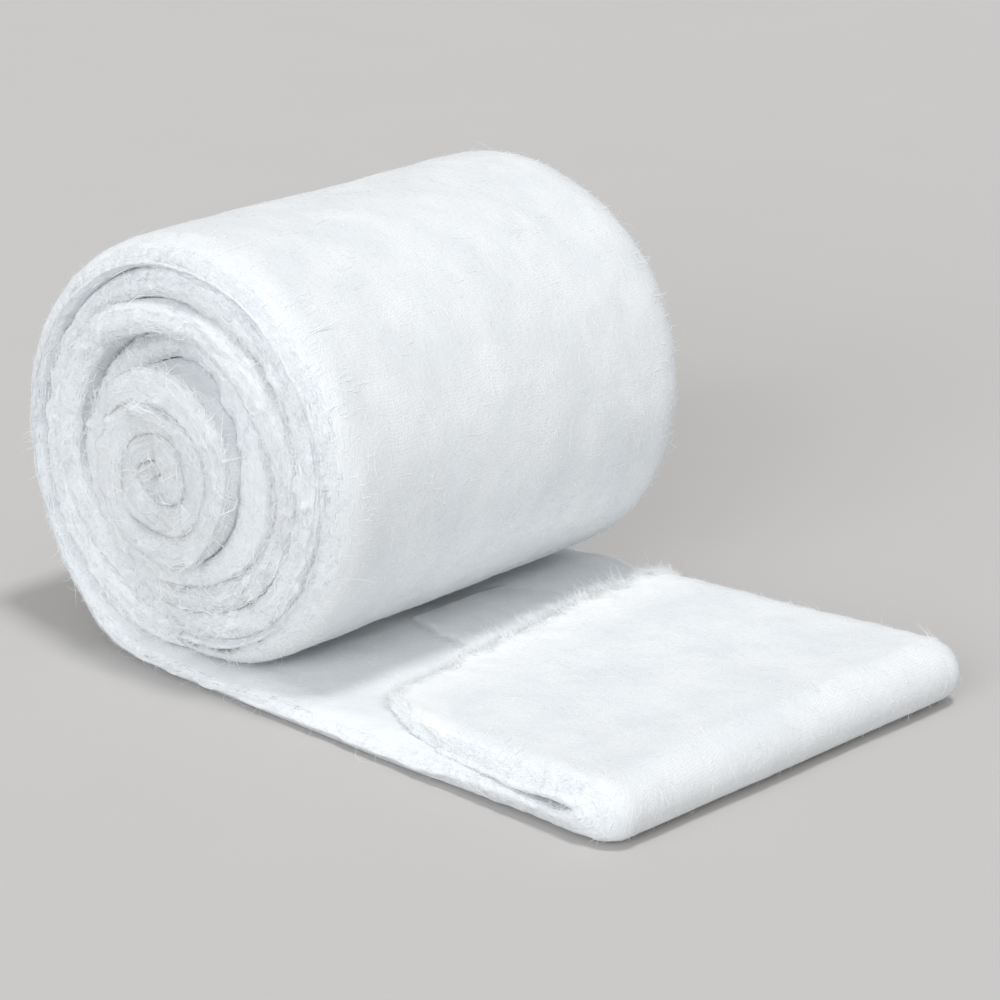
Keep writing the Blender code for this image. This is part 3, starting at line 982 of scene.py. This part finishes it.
for end, way in (("front", -1.0), ("back", 1.0)):
    for number, (inset, side, grid_data, first, last, tall) in enumerate(GAUZE_EDGES):
        column = column_at(grid_data, inset * MM, side, end)
        fluff.append(gauze_edge(f"gauze_edge_{end}_{number}", grid_data, column, way, first, last,
                                tall * MM, 41 + 10 * number))
print("gauze edges", 2 * len(GAUZE_EDGES))

# %% [markdown]
#
# Both stretches are cloth of the strip's real width, cut to their own length. The names
# of the two stretches and of the ply are printed. All the fluff is counted with the
# first of them.

# %% Names of the sheets
print("sheets", [sheet.name for sheet in (outer_turn, inner_turns, ply)])

# %% [markdown]
# ## Floor
#
# A plain pale floor of matt paint that reaches past the view on all sides. It gives the
# eye an even warm grey, against which the white cotton looks a little cool.

# %% Floor
FLOOR_SIZE = 30.0

floor_paint, tree, shader = new_material("matt_floor_paint")
grain = add_node(tree, "TexNoise", {"Scale": 400.0, "Detail": 2.0})
tint = add_node(tree, "Mix",
                {"Factor": grain, MIX_FROM: linear("#C5C3C1"), MIX_TO: linear("#C7C5C3")},
                data_type="RGBA", out=2)
set_inputs(shader, {"Base Color": tint, "Roughness": 1.0, "Specular IOR Level": 0.0})
bpy.ops.mesh.primitive_plane_add(size=FLOOR_SIZE, location=(0, 0, -0.2 * MM))
floor = bpy.context.object
floor.name = "floor"
floor.data.materials.append(floor_paint)
print("floor", FLOOR_SIZE, "m wide")

# %% [markdown]
# ## Light
#
# An even sky gives soft shadows. A lamp above, a little to the right, keeps the torn
# edge out of the roll's shadow, and a lower and much broader one in front lights the
# end of the roll. Area lamps close by would be brighter on the near side; sun lamps
# with a wide angle light every part alike, as big softboxes far away do.

# %% Sky and softboxes
SKY_LIGHT = 0.51

sky = bpy.data.worlds.new("even_sky")
sky.use_nodes = True
bpy.context.scene.world = sky
set_inputs(sky.node_tree.nodes["Background"],
           {"Color": linear("#FCFDFF"), "Strength": SKY_LIGHT})


def far_lamp(name, towards, irradiance, spread):
    """A far softbox: its light is measured like the sky's, its width in degrees."""
    data = bpy.data.lights.new(name, "SUN")
    data.energy = irradiance * math.pi
    data.angle = math.radians(spread)
    lamp = bpy.data.objects.new(name, data)
    lamp.rotation_euler = Vector(towards).to_track_quat("Z", "Y").to_euler()
    bpy.context.scene.collection.objects.link(lamp)
    print(name, irradiance)


far_lamp("overhead_softbox", (0.20, 0.02, 1.0), 0.385, 10)
far_lamp("low_fill_in_front", (0.31, -0.92, 0.30), 0.61, 46)
bpy.context.scene.view_settings.view_transform = "Standard"

# %% [markdown]
# ## Camera
#
# The camera stands where the photographer's did. Its place, its lens and its slight
# roll were worked out from the outline of the roll and of the loose end.

# %% Camera
SENSOR_WIDTH = 36.0
FOCAL_IN_WIDTHS = 4.5706
CAMERA_AZIMUTH = math.radians(42.616)
CAMERA_ELEVATION = math.radians(20.547)
CAMERA_DISTANCE = 1.7984
CAMERA_TARGET = Vector((0.0756, 0.0008, 0.0679))
CAMERA_ROLL = math.radians(1.371)

back = Vector((math.sin(CAMERA_AZIMUTH) * math.cos(CAMERA_ELEVATION),
               -math.cos(CAMERA_AZIMUTH) * math.cos(CAMERA_ELEVATION),
               math.sin(CAMERA_ELEVATION)))
lens = bpy.data.cameras.new("camera")
lens.sensor_width = SENSOR_WIDTH
lens.lens = FOCAL_IN_WIDTHS * SENSOR_WIDTH
camera = bpy.data.objects.new("camera", lens)
bpy.context.scene.collection.objects.link(camera)
upright = back.to_track_quat("Z", "Y").to_matrix().to_4x4()
camera.matrix_world = (Matrix.Translation(CAMERA_TARGET + back * CAMERA_DISTANCE) @ upright
                       @ Matrix.Rotation(CAMERA_ROLL, 4, "Z"))
bpy.context.scene.camera = camera
print("camera", [round(v, 3) for v in camera.matrix_world.translation])
